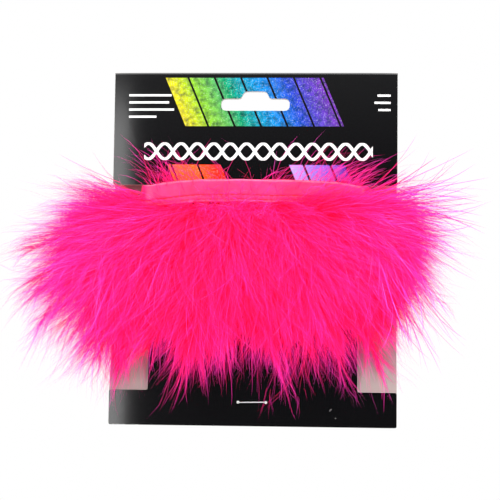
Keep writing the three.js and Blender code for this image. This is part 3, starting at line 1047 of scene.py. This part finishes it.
def side_fur(side, index):
    """Down that stands out where the winding turns round the card's waist."""
    word = "left" if side < 0 else "right"
    rng = np.random.default_rng(SIDE_SEEDS[side] + index)
    n = SIDE_PLUMES[side][index]
    fall = np.radians(SIDE_FALLS[index] + rng.uniform(0, FALL_SPAN, n) + rng.uniform(-5, 5, n))
    depth = np.radians(rng.normal(6, 16, n))
    layer = rng.random(n)
    out = side * (49.2 + 3.2 * layer)
    roots = rows(out, rng.uniform(-4.2, 4.0, n), rng.uniform(99, 104, n))
    flat = np.cos(depth)
    starts = rows(side * np.cos(fall) * flat, -np.sin(depth), -np.sin(fall) * flat)
    fall_end = fall + np.radians(rng.normal(6, 8, n))
    ends = rows(side * np.cos(fall_end), 0.1 * rng.normal(size=n), -np.sin(fall_end))
    longest = np.interp(np.degrees(fall), REACH_FALLS, SIDE_REACHES[side])
    plumes = Plumes(roots, starts, ends, rng.uniform(0.55, 1.0, n) * longest)
    fur(
        f"{word}_fur_{index + 1}", plumes, rng, f"{word}_plumes_{index + 1}",
        loose=side_strays(rng, side, index), loose_width=STRAY_WIDTH[side], locks=SIDE_LOCKS[side],
    )


def side_strays(rng, side, index):
    """Loose barbs round a side tuft. Those of the highest tuft rise above it too."""
    n = SIDE_STRAYS[side][index]
    fall = np.radians(SIDE_FALLS[index] + rng.uniform(0, FALL_SPAN, n))
    if index == 0:
        fall = np.radians(rng.normal(5, 18, n))
    out = unit(rows(side * np.cos(fall), rng.normal(-0.1, 0.25, n), -np.sin(fall)))
    start = rng.uniform(0, 1, n) ** 1.3 * STRAY_STARTS[index]
    roots = rows(np.full(n, side * 50.0), rng.uniform(-4, 3, n), rng.uniform(98, 108, n))
    roots = roots + out * start[:, None]
    bend = fall + np.radians(rng.normal(0, 22, n))
    lasts = rows(side * np.cos(bend), rng.normal(-0.1, 0.3, n), -np.sin(bend))
    return strays(rng, roots, out, lasts, rng.uniform(*STRAY_LENGTHS[side], n))


REAR_TUFTS = 8
REAR_PLUMES = 9
REAR_SEED = 500
HALF_REAR = 45.0


def rear_fur(index):
    """Shorter down pressed between the card's two halves."""
    rng = np.random.default_rng(REAR_SEED + index)
    n = REAR_PLUMES
    c = 2 * (index + rng.random(n)) / REAR_TUFTS - 1
    x = HALF_REAR * c
    roots = rows(x, rng.uniform(1.4, 5.0, n), RIBBON_BOTTOM + 1 + arch(x))
    swing = np.radians(50 * np.sign(c) * np.abs(c) ** 1.6 + rng.normal(0, 8, n))
    lift = np.radians(rng.normal(-3, 2, n))
    lengths = rng.uniform(44, 58, n)
    plumes = Plumes(roots, fan_directions(swing, lift), fan_directions(swing * 0.8, lift * 0), lengths)
    fur(
        f"rear_fur_{index + 1}", plumes, rng, f"rear_plumes_{index + 1}",
        behind=True, locks=60, strands=5, length=26,
    )


# ---------------- build the object

front_half()
rear_half()
staple()
ribbon()
stitches("upper_stitches", "stitch_row_upper", UPPER_STITCHES)
stitches("lower_stitches", "stitch_row_lower", LOWER_STITCHES)
for tuft in range(FRONT_TUFTS):
    front_fur(tuft)
for tuft in range(SIDE_TUFTS):
    side_fur(-1, tuft)
    side_fur(1, tuft)
for tuft in range(REAR_TUFTS):
    rear_fur(tuft)


# ---------------- stage

FLOOR_DROP = 1.2
FLOOR_HALF_WIDTH = 11
AIM = (0, 0, -0.08)


def camera():
    """A little below and right of the front, level with the winding, and tilted slightly."""
    data = bpy.data.cameras.new("camera")
    data.lens = 100.7
    data.sensor_width = 36
    distance, target = 0.650, Vector((-0.0017, 0, -0.0746))
    azimuth, elevation, roll = math.radians(3.2), math.radians(-4.8), math.radians(0.69)
    back = Vector((
        math.sin(azimuth) * math.cos(elevation),
        -math.cos(azimuth) * math.cos(elevation),
        math.sin(elevation),
    ))
    obj = bpy.data.objects.new("camera", data)
    bpy.context.scene.collection.objects.link(obj)
    turn = (-back).to_track_quat("-Z", "Y").to_matrix().to_4x4()
    obj.matrix_world = Matrix.Translation(target + back * distance) @ turn @ Matrix.Rotation(roll, 4, "Z")
    bpy.context.scene.camera = obj


def area_light(name, place, size, power):
    data = bpy.data.lights.new(name, "AREA")
    data.shape = "RECTANGLE"
    data.size, data.size_y = size
    data.energy = power
    obj = bpy.data.objects.new(name, data)
    bpy.context.scene.collection.objects.link(obj)
    place = Vector(place)
    turn = (Vector(AIM) - place).to_track_quat("-Z", "Y").to_matrix().to_4x4()
    obj.matrix_world = Matrix.Translation(place) @ turn


def world():
    """Bright above and behind the object and dark low in front of it, so that the varnish stays black. The
    camera itself sees plain white."""
    scene_world = bpy.data.worlds.new("studio")
    bpy.context.scene.world = scene_world
    scene_world.use_nodes = True
    room_graph = Shader(scene_world)
    nodes, links = room_graph.nodes, room_graph.links
    nodes.clear()
    output = nodes.new("ShaderNodeOutputWorld")
    seen = nodes.new("ShaderNodeBackground")
    seen.inputs["Color"].default_value = (1, 1, 1, 1)
    room = nodes.new("ShaderNodeBackground")
    parts = nodes.new("ShaderNodeSeparateXYZ")
    links.new(nodes.new("ShaderNodeTexCoord").outputs["Generated"], parts.inputs[0])
    upper = room_graph.scaled(parts.outputs["Z"], 1 / 0.12, -0.14 / 0.12, clamp=True)
    behind = room_graph.scaled(parts.outputs["Y"], 1 / 0.3, 0.1, clamp=True)
    strength = room_graph.scaled(upper, 0.55, 0.02)
    strength = room_graph.math("ADD", strength, room_graph.math("MULTIPLY", behind, 0.6))
    links.new(strength, room.inputs["Strength"])
    choose = nodes.new("ShaderNodeMixShader")
    links.new(nodes.new("ShaderNodeLightPath").outputs["Is Camera Ray"], choose.inputs[0])
    links.new(room.outputs[0], choose.inputs[1])
    links.new(seen.outputs[0], choose.inputs[2])
    links.new(choose.outputs[0], output.inputs[0])


def floor():
    z, half = CARD_BOTTOM - FLOOR_DROP, FLOOR_HALF_WIDTH
    corners = [(-half, -half, z), (half, -half, z), (half, half, z), (-half, half, z)]
    pale = principled("floor", (0.92, 0.92, 0.92), 0.6)
    plane = mesh_object("floor", corners, [(0, 1, 2, 3)], [pale])


camera()
world()
area_light("left_softbox", (-0.79, -1.53, -0.02), (0.8, 0.68), 9.5)
area_light("right_softbox", (1.05, -1.15, 0.1), (0.7, 0.7), 11)
area_light("top_softbox", (-0.2, -0.8, 1.0), (1.4, 0.9), 30)
floor()
bpy.context.scene.view_settings.view_transform = "Standard"
